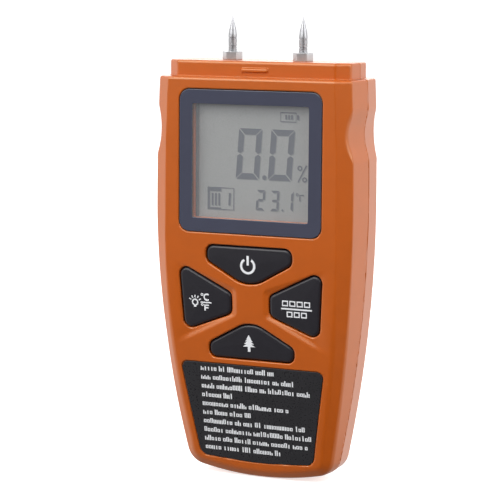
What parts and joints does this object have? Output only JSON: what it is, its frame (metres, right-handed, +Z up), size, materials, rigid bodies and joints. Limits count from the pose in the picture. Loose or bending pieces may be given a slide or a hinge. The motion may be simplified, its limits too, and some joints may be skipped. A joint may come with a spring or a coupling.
{
  "type": "moisture meter",
  "caption": "Hand-held pin moisture meter with a stepped top, square display window, keypad, printed label plate and a hinged rear battery door.",
  "frame": {"origin": "middle of the base, at its lowest point, half way between the front and the back", "axes": "+X to the right as the user reads the display, +Y from the front face to the back, +Z up along the pins"},
  "size_m": [0.0688, 0.027, 0.1464],
  "materials": {
    "case_orange": "fine satin",
    "key_black": "smooth satin",
    "carbon_black": "matte",
    "lens_dark": "polished, dark printed border",
    "tape_black": "matte",
    "lcd_grey": "satin polariser",
    "white_plastic": "satin",
    "led_yellow": "clear resin",
    "zebra_pink": "matte",
    "label_black": "satin film",
    "web_grey": "matte",
    "board_green": "solder mask",
    "chip_black": "moulded epoxy",
    "smd_mixed": "sintered",
    "bright_tin": "plated",
    "sleeve_blue": "shrink sleeve",
    "bead_brown": "epoxy bead",
    "pin_steel": "turned and polished",
    "nut_nickel": "nickel plated",
    "brass": "turned",
    "nylon_ivory": "natural nylon",
    "wire_white": "PVC",
    "wire_red": "PVC",
    "wire_black": "PVC",
    "cell_sleeve": "printed sleeve",
    "screw_steel": "zinc plated"
  },
  "bodies": {
    "case": {"front_shell": "case_orange", "rear_shell": "case_orange", "display_lens": "lens_dark", "lens_tape": "tape_black", "lcd_glass": "lcd_grey", "lcd_frame": "white_plastic", "backlight_panel": "white_plastic", "backlight_led": "led_yellow", "zebra_strip": "zebra_pink", "label_plate": "label_black", "keypad_web": "web_grey", "main_board": "board_green", "mcu_chip": "chip_black", "amplifier_chip": "chip_black", "smd_parts": "smd_mixed", "crystal": "bright_tin", "capacitor": "sleeve_blue", "thermistor": "bead_brown", "pin_left": "pin_steel", "pin_right": "pin_steel", "pin_nut_left": "nut_nickel", "pin_nut_right": "nut_nickel", "pin_bush_left": "brass", "pin_bush_right": "brass", "pin_carrier": "nylon_ivory", "probe_lugs": "bright_tin", "probe_lead_left": "wire_white", "probe_lead_right": "wire_white", "cell_left": "cell_sleeve", "cell_middle": "cell_sleeve", "cell_right": "cell_sleeve", "contact_springs": "bright_tin", "contact_plates": "bright_tin", "battery_lead_pos": "wire_red", "battery_lead_neg": "wire_black", "case_screws": "screw_steel", "board_screws": "screw_steel"},
    "power_key": {"key_power": "key_black", "pill_power": "carbon_black"},
    "light_key": {"key_light": "key_black", "pill_light": "carbon_black"},
    "mode_key": {"key_mode": "key_black", "pill_mode": "carbon_black"},
    "species_key": {"key_species": "key_black", "pill_species": "carbon_black"},
    "door": {"battery_door": "case_orange"}
  },
  "joints": [
    {"name": "power_key_press", "type": "slide", "parent": "case", "child": "power_key", "axis": [0, 1, 0], "range_m": [0, 0.0008], "stiffness_N_per_m": 800, "springref_m": -0.0003},
    {"name": "light_key_press", "type": "slide", "parent": "case", "child": "light_key", "axis": [0, 1, 0], "range_m": [0, 0.0008], "stiffness_N_per_m": 800, "springref_m": -0.0003},
    {"name": "mode_key_press", "type": "slide", "parent": "case", "child": "mode_key", "axis": [0, 1, 0], "range_m": [0, 0.0008], "stiffness_N_per_m": 800, "springref_m": -0.0003},
    {"name": "species_key_press", "type": "slide", "parent": "case", "child": "species_key", "axis": [0, 1, 0], "range_m": [0, 0.0008], "stiffness_N_per_m": 800, "springref_m": -0.0003},
    {"name": "battery_door_hinge", "type": "hinge", "parent": "case", "child": "door", "pos_m": [0, 0.01255, 0.0092], "axis": [-1, 0, 0], "range_deg": [0, 70]}
  ]
}
